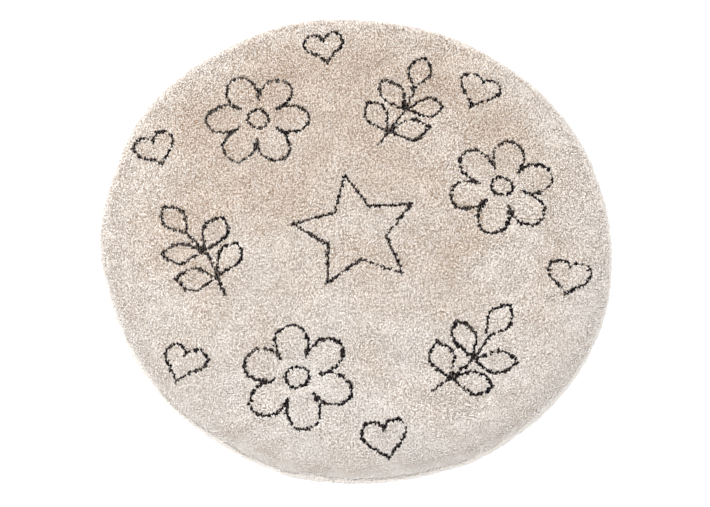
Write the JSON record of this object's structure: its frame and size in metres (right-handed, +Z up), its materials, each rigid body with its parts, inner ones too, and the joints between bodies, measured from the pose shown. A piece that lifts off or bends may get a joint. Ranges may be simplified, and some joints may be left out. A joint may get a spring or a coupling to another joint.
{
  "type": "round shag rug",
  "caption": "Round cream shag rug: one thick, slightly uneven disc of deep cut pile with dark outline motifs and soft locks of yarn at its rim, lying flat.",
  "frame": {"origin": "middle of the underside, midway between the rug's widest points", "axes": "+Z up out of the pile, +X to the right and +Y away from the viewer in the picture"},
  "size_m": [1.1992, 1.195, 0.0338],
  "materials": {
    "pile_yarn": "deep cut pile of cream yarn, matt, with thin lines of near-black yarn"
  },
  "bodies": {
    "root": {"shag_pile": "pile_yarn"}
  },
  "joints": []
}
